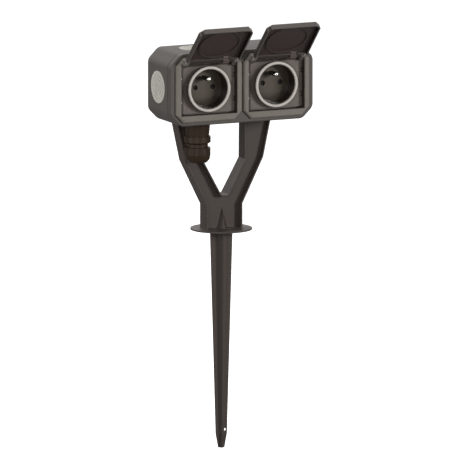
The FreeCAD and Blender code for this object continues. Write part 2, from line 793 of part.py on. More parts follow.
def make_contact(label, x, turn):
    """Spring sleeve for one pole with its screw terminal behind and below it."""
    body = new_body(label)
    sleeve = circle(sketch(body, "XZ_Plane", TERMINAL_FRONT), "sleeve_radius")
    circle(sleeve, "sleeve_bore")
    pad(body, sleeve, "sleeve_length")
    block = rectangle(sketch(body, "XZ_Plane", TERMINAL_BACK), "-terminal_width / 2", "terminal_width / 2",
                      "-terminal_down", "terminal_up")
    pad(body, block, "terminal_thick")
    slit = rectangle(sketch(body, "XZ_Plane", f"{TERMINAL_FRONT} + sleeve_length"), "-sleeve_slit / 2",
                     "sleeve_slit / 2", "-sleeve_radius - 1", "sleeve_radius + 1")
    pocket(body, slit, "sleeve_length - sleeve_radius")
    wire = circle(sketch(body, "XY_Plane", "-terminal_down"), "wire_hole", "0",
                  f"-({TERMINAL_BACK} + terminal_thick / 2)")
    pocket(body, wire, "terminal_down - sleeve_radius", forwards=True)
    thread = circle(sketch(body, "XZ_Plane", TERMINAL_BACK), "screw_radius + screw_gap", "0",
                    "-terminal_screw_drop")
    pocket(body, thread, "terminal_thick + 1", forwards=True)
    return place(body, x, "0", "socket_height", turn)


def make_earth_pin(side, sign):
    """Earth pin with a shoulder in its hole in the well's floor, on a thinner stem."""
    body = new_body(f"earth_pin_{side}")
    pad(body, circle(sketch(body, "XZ_Plane", STRAP_BACK), "earth_stem"), f"{WELL_FLOOR} - {STRAP_BACK}")
    pad(body, circle(sketch(body, "XZ_Plane", CARRIER_FRONT), "earth_shoulder"),
        f"{WELL_FLOOR} - earth_shoulder_sunk - {CARRIER_FRONT}")
    rod = pad(body, circle(sketch(body, "XZ_Plane", CARRIER_FRONT), "earth_radius"),
              f"{WELL_FLOOR} + earth_pin_reach - {CARRIER_FRONT}")
    front = frontmost(rod)
    soften(body, "Fillet", rod, "earth_radius * 0.7", lambda edge: in_plane(edge, Y_AXIS, front))
    return place(body, f"{sign} * pitch / 2", "0", "socket_height + earth_rise")


def make_earth_strap(side, sign):
    """Flat strap on the end of the earth pin, with a tapped boss for the earth screw."""
    body = new_body(f"earth_strap_{side}")
    drawing = rectangle(sketch(body, "XZ_Plane", STRAP_BACK), "-strap_width / 2", "strap_width / 2",
                        "earth_rise - strap_width / 2", "earth_screw_rise")
    circle(drawing, "earth_stem + pin_press", "0", "earth_rise")
    pad(body, drawing, "strap_thick")
    boss = circle(sketch(body, "XZ_Plane", TERMINAL_BACK), "strap_boss", "0", "earth_screw_rise")
    pad(body, boss, "terminal_proud + strap_boss_depth")
    thread = circle(sketch(body, "XZ_Plane", TERMINAL_BACK), "screw_radius + screw_gap", "0", "earth_screw_rise")
    pocket(body, thread, "terminal_proud + strap_boss_depth + 1", forwards=True)
    return place(body, f"{sign} * pitch / 2", "0", "socket_height")


TERMINALS = {
    "live": ("pole_pitch / 2", "-terminal_screw_drop"),
    "neutral": ("-pole_pitch / 2", "terminal_screw_drop"),
    "earth": ("0", "earth_screw_rise"),
}


def make_link(name):
    """Flat bar that joins the same terminal of the two gangs behind their carriers."""
    across, up = TERMINALS[name]
    body = new_body(f"{name}_link")
    drawing = rectangle(sketch(body, "XZ_Plane", f"{TERMINAL_BACK} - link_thick"),
                        f"{across} - pitch / 2 - link_end", f"{across} + pitch / 2 + link_end",
                        f"{up} - link_width / 2", f"{up} + link_width / 2")
    for sign in SIDES.values():
        circle(drawing, "screw_radius + screw_gap", f"{across} + {sign} * pitch / 2", up)
    pad(body, drawing, "link_thick")
    return place(body, z="socket_height")


def make_terminal_screws(side, sign):
    seat = f"-({TERMINAL_BACK} - link_thick)"
    spots = [(f"{sign} * pitch / 2 + {across}", seat, f"socket_height + {up}") for across, up in TERMINALS.values()]
    return screw_group(f"terminal_screws_{side}", spots, BACKWARDS, "screw_radius", "small_head",
                       "screw_head_height", "link_thick + strap_boss_depth")


def make_lid(side, sign):
    """Flap modelled as if shut, hanging down from its hinge at the origin, then swung open."""
    body = new_body(f"lid_{side}")
    inside = "lid_proud - lid_thick"
    free = "(lid_proud - lid_depth)"

    def panel(drawing, inset):
        half, start, end = f"({LID_HALF} - {inset})", f"({LID_START} + {inset})", f"({LID_END} - {inset})"
        cut = f"(lid_corner - {inset} * (2 - sqrt(2)))"
        return outline(drawing, [
            (f"-{half}", f"-{start}"),
            (f"-{half}", f"-{end} + {cut}"),
            (f"-{half} + {cut}", f"-{end}"),
            (f"{half} - {cut}", f"-{end}"),
            (half, f"-{end} + {cut}"),
            (half, f"-{start}"),
        ])

    tray = pad(body, panel(sketch(body, "XZ_Plane", free), "0"), "lid_depth")
    front = frontmost(tray)
    soften(body, "Fillet", tray, "lid_round", lambda edge: in_plane(edge, Y_AXIS, front))
    pocket(body, panel(sketch(body, "XZ_Plane", free), "lid_wall"), "lid_depth - lid_thick", forwards=True)
    lowered = rectangle(sketch(body, "XZ_Plane", free), f"-({LID_HALF} - lid_wall)", f"{LID_HALF} - lid_wall",
                        f"-({LID_START} + lid_wall * 2)", f"-{LID_START} / 2")
    pocket(body, lowered, f"{RING_FRONT} + lid_swing_gap - {HINGE_FORWARD} - {free}", forwards=True)
    left_end = "-(ear_inner - barrel_gap)"
    knuckle_left = "knuckle_offset - knuckle_width / 2 - barrel_gap"
    knuckle_right = "knuckle_offset + knuckle_width / 2 + barrel_gap"
    right_end = "ear_inner - barrel_gap"
    for start, end in ((left_end, knuckle_left), (knuckle_right, right_end)):
        web = rectangle(sketch(body, "XZ_Plane", inside), start, end, f"-({LID_START} + lid_wall / 2)", "0")
        pad(body, web, "lid_thick")
        barrel = circle(sketch(body, "YZ_Plane", start), "barrel_radius")
        pad(body, barrel, f"({end}) - ({start})")
    notch = rectangle(sketch(body, "XZ_Plane", free), knuckle_left, knuckle_right,
                      f"-({LID_START} + lid_wall + lid_notch)", f"-{LID_START} / 2")
    pocket(body, notch, "lid_depth + 1", forwards=True)
    bore = circle(sketch(body, "YZ_Plane"), "pin_radius + pin_clearance")
    pocket(body, bore, "recess_width", both_ways=True)
    return swing(body, sign)


def swing(item, sign):
    """Hang a piece of the lid on its hinge, at the angle the lid stands open."""
    place(item, f"{sign} * pitch / 2", f"-{HINGE_FORWARD}", "socket_height + hinge_rise",
          FreeCAD.Rotation(X_AXIS, -1.0))
    bind(item, "Placement.Rotation.Angle", "-lid_open_angle")
    return item


def make_lid_seal(side, sign):
    body = new_body(f"lid_seal_{side}")
    middle = "(ring_radius + well_radius) / 2"
    drawing = sketch(body, "XZ_Plane", "lid_proud - lid_thick - seal_thick")
    circle(drawing, f"{middle} + seal_width / 2", "0", "-hinge_rise")
    circle(drawing, f"{middle} - seal_width / 2", "0", "-hinge_rise")
    pad(body, drawing, "seal_thick")
    return swing(body, sign)


def make_hinge_pin(side, sign):
    body = new_body(f"hinge_pin_{side}")
    drawing = circle(sketch(body, "YZ_Plane"), "pin_radius")
    pad(body, drawing, "2 * (ear_inner + ear_width - pin_inset)", both_ways=True)
    return place(body, f"{sign} * pitch / 2", f"-{HINGE_FORWARD}", "socket_height + hinge_rise")


# Cable gland under the left gang, in coordinates that start at the box's underside

GLAND_TOP = "-gland_seal_thick"
COLLAR_TOP = f"({GLAND_TOP} - gland_waist_drop)"
COLLAR_END = f"({COLLAR_TOP} - gland_collar_height)"
NECK_END = f"({COLLAR_END} - gland_neck_height)"
NOSE_END = f"({NECK_END} - gland_nose_length)"
MOUTH_TOP = f"({NOSE_END} + gland_mouth_depth)"
NUT_TOP = f"({NECK_END} - nut_gap)"
NUT_END = f"({NUT_TOP} - nut_length)"
NUT_FLOOR = f"({NUT_END} + nut_end_wall)"
CONE_TOP = f"({NUT_FLOOR} + nut_cone)"


def at_gland(item):
    return place(item, "-pitch / 2", "-gland_forward", BOX_BOTTOM)


def make_gland_seal():
    body = new_body("gland_seal")
    drawing = circle(sketch(body, "XY_Plane", "-gland_seal_thick"), "gland_seal_radius")
    circle(drawing, "gland_thread + rubber_gap")
    pad(body, drawing, "gland_seal_thick")
    return at_gland(body)


def make_gland_body():
    body = new_body("gland_body")
    revolve(body, outline(sketch(body, "XZ_Plane"), [
        ("gland_bore", "gland_spigot"),
        ("gland_bore", MOUTH_TOP),
        ("gland_mouth_radius", MOUTH_TOP),
        ("gland_mouth_radius", NOSE_END),
        ("gland_nose_radius", NOSE_END),
        ("gland_nose_radius", NECK_END),
        ("gland_neck_radius", NECK_END),
        ("gland_neck_radius", f"{COLLAR_END} - gland_neck_height / 3"),
        ("gland_collar_radius", COLLAR_END),
        ("gland_collar_radius", COLLAR_TOP),
        ("gland_waist_radius", COLLAR_TOP),
        ("gland_top_radius", GLAND_TOP),
        ("gland_thread", GLAND_TOP),
        ("gland_thread", "gland_spigot"),
    ]))
    return at_gland(body)


def make_gland_locknut():
    body = new_body("gland_locknut")
    drawing = sketch(body, "XY_Plane", "wall")
    corner = "locknut_flats / 2 / cos(30)"
    outline(drawing, [(f"{corner} * cos({angle})", f"{corner} * sin({angle})") for angle in range(0, 360, 60)])
    circle(drawing, "gland_thread + screw_gap")
    pad(body, drawing, "locknut_thick")
    return at_gland(body)


def make_gland_bush():
    """Rubber bush that the dome nut squeezes around the cable."""
    body = new_body("gland_bush")
    radius = "gland_mouth_radius - rubber_gap"
    shoulder = f"{NOSE_END} - screw_hole_gap"
    revolve(body, outline(sketch(body, "XZ_Plane"), [
        ("bush_bore", MOUTH_TOP),
        ("bush_bore", f"{shoulder} - bush_nose"),
        ("bush_nose_radius", f"{shoulder} - bush_nose"),
        (radius, shoulder),
        (radius, MOUTH_TOP),
    ]))
    return at_gland(body)


def make_gland_nut():
    body = new_body("gland_nut")
    revolve(body, outline(sketch(body, "XZ_Plane"), [
        ("gland_nose_radius + nut_gap", NUT_TOP),
        ("gland_nose_radius + nut_gap", CONE_TOP),
        ("bush_nose_radius + nut_gap", NUT_FLOOR),
        ("gland_bore", NUT_FLOOR),
        ("gland_bore", NUT_END),
        ("nut_dome_radius", NUT_END),
        ("nut_radius - (nut_radius - nut_dome_radius) / 4", f"{NUT_END} + nut_dome * 0.4"),
        ("nut_radius", f"{NUT_END} + nut_dome"),
        ("nut_radius", NUT_TOP),
    ]))
    flute = circle(sketch(body, "XY_Plane", NUT_TOP), "nut_rib_radius", "nut_radius")
    first = pocket(body, flute, "nut_length")
    document.recompute()
    pattern = body.newObject("PartDesign::PolarPattern", "gland_nut_flutes")
    pattern.Originals = [first]
    pattern.Axis = (flute, ["N_Axis"])
    pattern.Angle = 360.0
    bind(pattern, "Occurrences", "nut_rib_count")
    body.Tip = pattern
    return at_gland(body)


# Forked ground spike

def free_sketch(label, turn):
    drawing = document.addObject("Sketcher::SketchObject", label)
    drawing.Placement = FreeCAD.Placement(FreeCAD.Vector(), turn)
    return drawing


def slab(label, drawing, thickness):
    """Straight slab centred on the plane of its outline."""
    item = document.addObject("Part::Extrusion", label)
    item.Base = drawing
    item.DirMode = "Normal"
    item.Symmetric = True
    item.Solid = True
    bind(item, "LengthFwd", thickness)
    return item


def mirrored(points):
    """The points of a right half, then the same points on the left, in reverse."""
    return points + [(f"-({across})", up) for across, up in reversed(points)]


def rounded_vee(label, base, size):
    """Round the two edges at the bottom of the fork's V."""
    document.recompute()
    level = SIZES["vee_height"]
    chosen = []
    for number, edge in enumerate(base.Shape.Edges, 1):
        middle = edge.CenterOfMass
        if along(edge, Y_AXIS) and abs(middle.z - level) < SIZES["rib_thick"] * 1.5:
            if abs(middle.x) < SIZES["vee_half"] * 1.5:
                chosen.append(number)
    item = document.addObject("Part::Fillet", label)
    item.Base = base
    item.Edges = [(number, size, size) for number in chosen]
    return item


def make_yoke():
    """Fork of H section: ribs round its outline on both sides of a middle web."""
    shape = outline(free_sketch("yoke_outline", FRONTWARDS), mirrored([
        ("vee_half", "vee_height"),
        ("arm_inner", "kink_inner_height"),
        ("arm_inner", BOX_BOTTOM),
        ("arm_outer", BOX_BOTTOM),
        ("kink_outer", "kink_outer_height"),
        ("neck_half", "neck_height"),
        ("neck_half", "disc_thick / 4"),
    ]))
    inner = document.addObject("Part::Offset2D", "yoke_inner_outline")
    inner.Source = shape
    inner.Join = 2
    bind(inner, "Value", "-rib_thick")
    block = rounded_vee("yoke_block", slab("yoke_slab", shape, "2 * column_depth"), SIZES["vee_round"])
    hollow = rounded_vee("yoke_hollow", slab("yoke_core", inner, "3 * column_depth"),
                         SIZES["vee_round"] + SIZES["rib_thick"])
    ribs = subtract("yoke_ribs", block, hollow)
    side = outline(free_sketch("yoke_side", FACING_X), mirrored([
        ("column_depth / 2", "-1"),
        ("column_depth / 2", "vee_height"),
        ("arm_depth / 2", BOX_BOTTOM),
    ]))
    trimmed = combine("MultiCommon", "yoke_trimmed", [ribs, slab("yoke_envelope", side, "3 * arm_outer")])
    middle = slab("yoke_web_slab", side, "3 * arm_outer")
    web = slab("yoke_web", shape, "web_thick")
    web_rounded = rounded_vee("yoke_web_rounded", web, SIZES["vee_round"])
    web_trimmed = combine("MultiCommon", "yoke_web_trimmed", [web_rounded, middle])
    return [trimmed, web_trimmed]


def loft(label, corners_at_levels):
    """Straight-sided solid through outlines that lie at different heights."""
    sections = []
    for level, corners in corners_at_levels:
        drawing = outline(free_sketch(f"{label}_section", FreeCAD.Rotation()), corners)
        bind(drawing, "Placement.Base.z", level)
        sections.append(drawing)
    item = document.addObject("Part::Loft", label)
    item.Sections = sections
    item.Solid = True
    item.Ruled = True
    return item


def star(half, side, edge):
    """Cross of four flanges that are thinner at their edges than at the root."""
    quarter = [
        (half, f"{edge} / 2"),
        (f"{half} * root_share", f"{side} * root_share_side"),
        (f"{edge} / 2", side),
    ]
    corners = []
    for across, up, step in (("", "", 1), ("-", "", -1), ("-", "-", 1), ("", "-", -1)):
        corners += [(f"{across}({x})", f"{up}({y})") for x, y in quarter[::step]]
    return corners


def make_blades():
    """Cross-shaped blade that narrows to a blunt tip."""
    return loft("blades", [
        ("disc_thick / 2", star("blade_half", "blade_side", "blade_edge")),
        ("-blade_length", star("blade_half_low", "blade_side_low", "blade_edge_low")),
        ("-spike_length", star("tip_half", "tip_side", "tip_edge")),
    ])


def make_gusset():
    """Pyramid on the disc that stiffens the foot of the web on both of its sides."""
    sections = []
    for level, half, side in (("disc_thick / 2", "gusset_half", "gusset_side"),
                              ("gusset_height", "gusset_top", "gusset_top_side")):
        sections.append((level, [(half, "0"), ("0", side), (f"-{half}", "0"), ("0", f"-{side}")]))
    return loft("gusset", sections)


def make_tabs():
    """Plates that rise behind the box from the back of each arm."""
    tabs = []
    for side, sign in SIDES.items():
        drawing = outline(free_sketch(f"tab_outline_{side}", FACING_X), [
            ("web_thick / 4", f"{BOX_BOTTOM} - tab_foot"),
            ("arm_depth / 2", f"{BOX_BOTTOM} - tab_foot"),
            ("box_back + tab_thick", f"{BOX_BOTTOM} - tab_slope"),
            ("box_back + tab_thick", f"{BOX_BOTTOM} + tab_height"),
            ("box_back", f"{BOX_BOTTOM} + tab_height"),
            ("box_back", BOX_BOTTOM),
            ("web_thick / 4", BOX_BOTTOM),
        ])
        bind(drawing, "Placement.Base.x", f"{sign} * pitch / 2")
        tabs.append(slab(f"tab_{side}", drawing, "tab_width"))
    return tabs


def make_ground_spike():
    disc = cylinder("stop_disc", "disc_radius", "disc_thick")
    solid = combine("MultiFuse", "spike_blank", make_yoke() + make_tabs() + [make_blades(), make_gusset(), disc])
    drills = []
    for across, up in fork_spots():
        drill = cylinder("tab_drill", "fork_screw + screw_hole_gap", "3 * tab_thick")
        drills.append(place(drill, across, "box_back + 2 * tab_thick", f"socket_height + {up}", FRONTWARDS))
    drill = cylinder("tip_drill", "tip_hole", "4 * blade_side_low")
    drills.append(place(drill, "blade_half_low - tip_hole - tip_hole_wall", "2 * blade_side_low", "-tip_hole_drop",
                        FRONTWARDS))
    spike = subtract("ground_spike", solid, combine("MultiFuse", "spike_drills", drills))
    spike.Label = "ground_spike"
    return spike


def make_fork_screws():
    seat = "box_back + tab_thick + washer_thick"
    spots = [(across, seat, f"socket_height + {up}") for across, up in fork_spots()]
    return screw_group("fork_screws", spots, BACKWARDS, "fork_screw", "fork_head", "fork_head_height",
                       "fork_length")


def make_fork_washers():
    washers = []
    for across, up in fork_spots():
        washer = subtract("fork_washer", cylinder("fork_washer_disc", "washer_radius", "washer_thick"),
                          cylinder("fork_washer_hole", "fork_screw + screw_gap", "washer_thick"))
        washers.append(place(washer, across, "box_back + tab_thick", f"socket_height + {up}", BACKWARDS))
    return gather("fork_washers", washers)


def build_all():
    parts = [
        make_ground_spike(),
        make_fork_screws(),
        make_fork_washers(),
        make_rear_box(),
        make_cover_gasket(),
        make_front_cover(),
        make_cover_screws(),
        make_membrane("side_membrane", LEFTWARDS, "-box_width / 2", "-entry_forward", "socket_height"),
        make_membrane("top_membrane", None, "-pitch / 2", "-entry_forward", BOX_TOP),
        make_gland_seal(),
        make_gland_body(),
        make_gland_locknut(),
        make_gland_bush(),
        make_gland_nut(),
    ]
    for side, sign in SIDES.items():
        centre = f"{sign} * pitch / 2"
        parts += [
            make_frame(side, sign),
            make_socket_front(side, sign),
            make_ring_seal(side, sign),
            make_contact_carrier(side, sign),
            make_carrier_screws(side, sign),
            make_shutter(side, sign),
            make_shutter_spring(side, sign),
            make_contact(f"live_contact_{side}", f"{centre} + pole_pitch / 2", None),
            make_contact(f"neutral_contact_{side}", f"{centre} - pole_pitch / 2", UPSIDE_DOWN),
            make_earth_pin(side, sign),
            make_earth_strap(side, sign),
            make_terminal_screws(side, sign),
            make_lid(side, sign),
            make_lid_seal(side, sign),
            make_hinge_pin(side, sign),
        ]
    for name in TERMINALS:
        parts.append(make_link(name))
    return parts


def check(parts):
    """Stop before anything is written if a feature failed or a shape is not sound."""
    for item in document.Objects:
        if "Invalid" in item.State or "Error" in item.State:
            raise RuntimeError(f"{item.Label} failed: {item.State}")
    for item in parts:
        if item.Shape.isNull() or not item.Shape.isValid() or not item.Shape.Solids:
            raise RuntimeError(f"{item.Label} has no sound solid")


parts = build_all()
document.recompute()
check(parts)
os.makedirs("parts", exist_ok=True)
for item in parts:
    item.Shape.exportStep(f"parts/{item.Label}.step")
    print(item.Label, len(item.Shape.Solids), round(item.Shape.Volume, 1))
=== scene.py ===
import json
import math

import bmesh
import bpy
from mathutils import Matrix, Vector


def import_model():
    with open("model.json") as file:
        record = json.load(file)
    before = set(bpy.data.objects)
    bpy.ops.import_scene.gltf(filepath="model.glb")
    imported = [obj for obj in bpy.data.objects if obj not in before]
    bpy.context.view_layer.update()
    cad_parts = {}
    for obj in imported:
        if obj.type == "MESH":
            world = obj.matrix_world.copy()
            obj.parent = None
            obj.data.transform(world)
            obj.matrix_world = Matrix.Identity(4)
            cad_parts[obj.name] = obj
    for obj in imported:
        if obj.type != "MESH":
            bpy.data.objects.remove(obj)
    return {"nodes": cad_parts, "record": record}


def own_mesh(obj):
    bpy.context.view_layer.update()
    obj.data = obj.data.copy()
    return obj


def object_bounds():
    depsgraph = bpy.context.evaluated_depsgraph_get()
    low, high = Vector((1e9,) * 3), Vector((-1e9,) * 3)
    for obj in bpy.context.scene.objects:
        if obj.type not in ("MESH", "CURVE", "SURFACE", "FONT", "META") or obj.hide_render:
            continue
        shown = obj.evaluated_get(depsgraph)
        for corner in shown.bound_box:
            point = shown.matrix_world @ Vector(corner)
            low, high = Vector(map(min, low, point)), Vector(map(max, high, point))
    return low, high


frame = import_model()
cad_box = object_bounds()

MM = 0.001
ORIGIN = (0, 0, 0)
RIGHT = (1, 0, 0)
FORWARD = (0, -1, 0)
UP = (0, 0, 1)
DOWN = (0, 0, -1)

# The two sockets, and places on them from each one's own middle
PITCH = 74.4 * MM
SOCKET_HEIGHT = 152.3 * MM
WELL_RADIUS = 19.8 * MM
RING_RADIUS = 23.2 * MM
POLE_OFFSET = 9.5 * MM
POLE_RADIUS = 2.6 * MM
PLATE_END = 22.4 * MM
RECESS_SIDE = 30.9 * MM
RECESS_END = 26.6 * MM
LUG_RISE = 12.1 * MM
EAR_INSIDE = 24.0 * MM
LID_SIDE = 29.15 * MM
TRAY_SIDE = 27.8 * MM

# How far in front of the origin two edges lie
FRAME_EDGE = 53.2 * MM
PIN_TIP = 51.2 * MM

# The hinge's middle and, from there, the way along the open lid and the way to its outside
HINGE = (0, -57.0 * MM, 181.7 * MM)
LID_WAY = (0, -math.sqrt(0.5), math.sqrt(0.5))
LID_OUTWARDS = (0, math.sqrt(0.5), math.sqrt(0.5))
KNUCKLE_RADIUS = 4.2 * MM
TRAY_MIDDLE = 29.4 * MM
TRAY_HALF_LENGTH = 23.7 * MM
TRAY_DEPTH = 0.7 * MM

# The blade's half width at its top, and what it loses per length further down
BLADE_HALF = 11.9 * MM
BLADE_TAPER = 6.0 / 208

# The step at the limit of a sharp area
SHARP = 0.05 * MM

# How fine each pattern is, in features to a metre
CLOUDS = 38.0
STREAKS = 60.0
BLOOM = 55.0
STAINS = 160.0

# What grain, clouds and worn edges do to moulded plastic's roughness, and the grain lost in an area
GRAIN_ROUGHNESS = 0.18
CLOUD_ROUGHNESS = 0.16
WORN_SMOOTHNESS = 0.06
AREA_SMOOTHNESS = 0.6

# Speckles: how fine they are against the grain, the noise they start at, and how pale they are
SPECKLE_SCALE = 0.7
SPECKLE_START = 0.56
SPECKLE_SHADE = 1.9

# Metal's stains and edges against its own colour, and, in a dull area, the share of painted dark reflection
# and the added roughness
STAIN_SHADE = 0.72
EDGE_SHADE = 1.12
PAINTED_DARK_SHARE = 0.92
DULL_ROUGHNESS = 0.25

# The floor's half side and its distance below the part, in metres
FLOOR_HALF = 30.0
FLOOR_GAP = 0.5 * MM

# The floor's shade for the object's light, its shade and glow for the camera, and the world's dim light
FLOOR_PLAIN = 0.25
FLOOR_PALE = 0.8
FLOOR_GLOW = 0.9
WORLD_DIM = 0.07

# The point that the lamps face, and the camera as fitted to the photo, in metres
LAMP_AIM = Vector((0, 0, 0.1))
CAMERA_TURN = math.radians(-24.5)
CAMERA_TILT = math.radians(8.95)
CAMERA_AWAY = 4.0
VIEW_MIDDLE = Vector((12.2, -6.6, -6.0)) * MM
VIEW_WIDTH = 472.36 * MM
VIEW_END = 60.0


def tone(red, green, blue):
    """A screen colour, 0 to 255, as the light it stands for."""
    def light(value):
        value /= 255
        return value / 12.92 if value <= 0.04045 else ((value + 0.055) / 1.055) ** 2.4
    return (light(red), light(green), light(blue), 1.0)


def grey(light):
    """A neutral colour of a given light, 0 to 1."""
    return (light, light, light, 1.0)


def scaled(colour, share, lift=0.0):
    """A colour made darker or paler by a share, and lifted by a little white."""
    return tuple(min(1.0, part * share + lift) for part in colour[:3]) + (1.0,)


# Finishes

class Value:
    """A socket in a node tree. Arithmetic on it adds Math nodes."""

    def __init__(self, tree, socket):
        self.tree = tree
        self.socket = socket

    def maths(self, operation, *terms):
        return self.tree.node("ShaderNodeMath", {"operation": operation}, dict(enumerate(terms))).value()

    def __add__(self, other):
        return self.maths("ADD", self, other)

    __radd__ = __add__

    def __sub__(self, other):
        return self.maths("SUBTRACT", self, other)

    def __rsub__(self, other):
        return self.maths("SUBTRACT", other, self)

    def __mul__(self, other):
        return self.maths("MULTIPLY", self, other)

    __rmul__ = __mul__

    def __truediv__(self, other):
        return self.maths("DIVIDE", self, other)

    def __pow__(self, other):
        return self.maths("POWER", self, other)

    def __abs__(self):
        return self.maths("ABSOLUTE", self)

    def clamped(self):
        return self.maths("MINIMUM", self.maths("MAXIMUM", self, 0.0), 1.0)

    def over(self, limit, fade=SHARP):
        """0 below a limit, rising to 1 over a stretch past it."""
        return ((self - limit) / fade).clamped()

    def under(self, limit, fade=SHARP):
        """0 above a limit, rising to 1 over a stretch below it."""
        return ((limit - self) / fade).clamped()


class Node:
    """One node of a tree, with its outputs as values."""

    def __init__(self, tree, made):
        self.tree = tree
        self.made = made

    def value(self, name=0):
        return Value(self.tree, self.made.outputs[name])


class Tree:
    """A node tree that starts empty."""

    def __init__(self, owner):
        owner.use_nodes = True
        self.graph = owner.node_tree
        self.graph.nodes.clear()

    def node(self, kind, settings=None, sockets=None):
        made = self.graph.nodes.new(kind)
        for name, setting in (settings or {}).items():
            setattr(made, name, setting)
        for name, given in (sockets or {}).items():
            if isinstance(given, Value):
                self.graph.links.new(given.socket, made.inputs[name])
            else:
                made.inputs[name].default_value = given
        return Node(self, made)

    def between(self, factor, low, high):
        """A colour between two, by a factor. A Mix node has its colours at sockets 6 and 7."""
        return self.node("ShaderNodeMix", {"data_type": "RGBA"}, {0: factor, 6: low, 7: high}).value(2)

    def background_seen(self, *rays):
        """1 for the rays that see the background, 0 for the light that falls on the object."""
        path = self.node("ShaderNodeLightPath")
        seen = path.value("Is Camera Ray")
        for ray in rays:
            seen = seen.maths("MAXIMUM", seen, path.value(ray))
        return seen


class Finish(Tree):
    """A material and the nodes that draw it."""

    def __init__(self, name):
        self.material = bpy.data.materials.new(name)
        super().__init__(self.material)

    def place(self):
        """Object coordinates, in metres."""
        return self.node("ShaderNodeTexCoord").value("Object")

    def stretched(self, scale):
        """Object coordinates stretched along the axes, for streaks."""
        return self.node("ShaderNodeMapping", {"vector_type": "POINT"},
                         {"Vector": self.place(), "Scale": scale}).value()

    def noise(self, scale, detail, rough, where=None):
        """Cloudy noise from 0 to 1."""
        sockets = {"Vector": where or self.place(), "Scale": scale, "Detail": detail, "Roughness": rough}
        return self.node("ShaderNodeTexNoise", {"noise_dimensions": "3D"}, sockets).value()

    def vector(self, operation, first, second, output="Vector"):
        made = self.node("ShaderNodeVectorMath", {"operation": operation}, {0: first, 1: second})
        return made.value(output)

    def along(self, start, way):
        """How far a point lies from a start, along one direction."""
        return self.vector("DOT_PRODUCT", self.vector("SUBTRACT", self.place(), start), way, "Value")

    def forward(self):
        """How far in front of the origin a point lies."""
        return self.along(ORIGIN, FORWARD)

    def off_centre(self):
        """How far to the right of its own socket's middle a point lies."""
        across = self.along(ORIGIN, RIGHT)
        return across - across.maths("SIGN", across) * (PITCH / 2)

    def off_socket(self):
        """How far above its socket's middle a point lies."""
        return self.along((0, 0, SOCKET_HEIGHT), UP)

    def rounded(self, radius):
        """Normal that rounds the sharp edges, and a mask that is bright on them."""
        normal = self.node("ShaderNodeBevel", {"samples": 4}, {"Radius": radius}).value()
        flat = self.node("ShaderNodeNewGeometry").value("True Normal")
        facing = self.vector("DOT_PRODUCT", normal, flat, "Value")
        return normal, facing.under(1.0, fade=1 / 3)

    def bump(self, height, depth, normal):
        sockets = {"Height": height, "Distance": depth, "Strength": 1.0, "Normal": normal}
        return self.node("ShaderNodeBump", {}, sockets).value()

    def surface(self, **sockets):
        """Ends the tree in a shader with these sockets, an underscore standing for each space."""
        named = {name.replace("_", " "): given for name, given in sockets.items()}
        shader = self.node("ShaderNodeBsdfPrincipled", {}, named).value()
        self.node("ShaderNodeOutputMaterial", {}, {"Surface": shader})
        return self.material


# Areas of a finish, 1 inside and 0 outside; most of them place painted shade, shadow or highlight

def reach(across, up):
    """Length of a step across and up."""
    return (across * across + up * up) ** 0.5


def from_middle(finish, across=0.0, up=0.0):
    """Distance from a point beside a socket's middle, seen from the front."""
    return reach(finish.off_centre() - across, finish.off_socket() - up)


def in_well(finish):
    """The smooth inside of a socket's well."""
    return from_middle(finish).under(WELL_RADIUS + 0.15 * MM)


def on_well_wall(finish):
    """The round wall of a socket's well, which gets painted shade."""
    return in_well(finish) * (1 - from_middle(finish).under(WELL_RADIUS - 0.2 * MM))


def low_in_well(finish):
    """The lower right of a well, darkened with painted shade."""
    right = finish.off_centre().over(0.0, fade=13.0 * MM)
    low = finish.off_socket().under(-9.0 * MM, fade=8.0 * MM)
    return (right + low).clamped() * in_well(finish)


def beside_pin(finish):
    """A painted shadow of the earth pin: a dark oval on a well's floor, to the left of the pin's foot."""
    across = (finish.off_centre() + 5.5 * MM) / 3.6
    up = (finish.off_socket() - 9.8 * MM) / 1.9
    return reach(across, up).under(1.2 * MM, fade=0.4 * MM)


def in_pole_holes(finish):
    """The inside of the two pole holes, painted near black as shade."""
    across = abs(finish.off_centre()) - POLE_OFFSET
    return reach(across, finish.off_socket()).under(POLE_RADIUS + 0.05 * MM)


def round_collar(finish):
    """Painted shade on the plate close to the collar, most on the upper left."""
    collar_shade = from_middle(finish, across=-3.0 * MM, up=1.5 * MM).under(28.5 * MM, fade=5.0 * MM)
    return collar_shade * (1 - in_well(finish))


def on_left_margin(finish):
    """Painted shade on the plate's left margin, against the frame."""
    return finish.off_centre().under(-25.6 * MM, fade=1.2 * MM)


def under_hinge(finish):
    """Painted shadow on the top end of the plate, close under the lid's hinge."""
    return finish.off_socket().over(PLATE_END, fade=0.8 * MM) * (1 - from_middle(finish).under(RING_RADIUS))


def in_recess(finish):
    """Painted shade on the walls of a frame's recess, but not on the lugs on the left one."""
    across = finish.off_centre()
    up = abs(finish.off_socket())
    walls = abs(across).under(RECESS_SIDE) * up.under(RECESS_END)
    lugs = abs(up - LUG_RISE).under(1.3 * MM) * across.under(0.0)
    return walls * finish.forward().under(FRAME_EDGE) * (1 - lugs)


def on_left_edge(finish):
    """The left edge of a frame's recess, at its front: the place of painted shade, and of the painted
    glints on it.
    """
    edge = abs(finish.off_centre() + RECESS_SIDE).under(0.6 * MM)
    sides = abs(finish.off_socket()).under(RECESS_END - 0.6 * MM)
    return edge * sides * (1 - finish.forward().under(FRAME_EDGE))


def on_lug_glints(finish):
    """Two painted glints on the recess's left edge, in front of its lugs."""
    return on_left_edge(finish) * abs(abs(finish.off_socket()) - LUG_RISE).under(0.9 * MM)


def in_tray(finish):
    """The glossy inside of a lid, within its rim."""
    down = finish.along(HINGE, LID_WAY)
    within = abs(finish.off_centre()).under(TRAY_SIDE) * abs(down - TRAY_MIDDLE).under(TRAY_HALF_LENGTH)
    return within * finish.along(HINGE, LID_OUTWARDS).under(-TRAY_DEPTH)


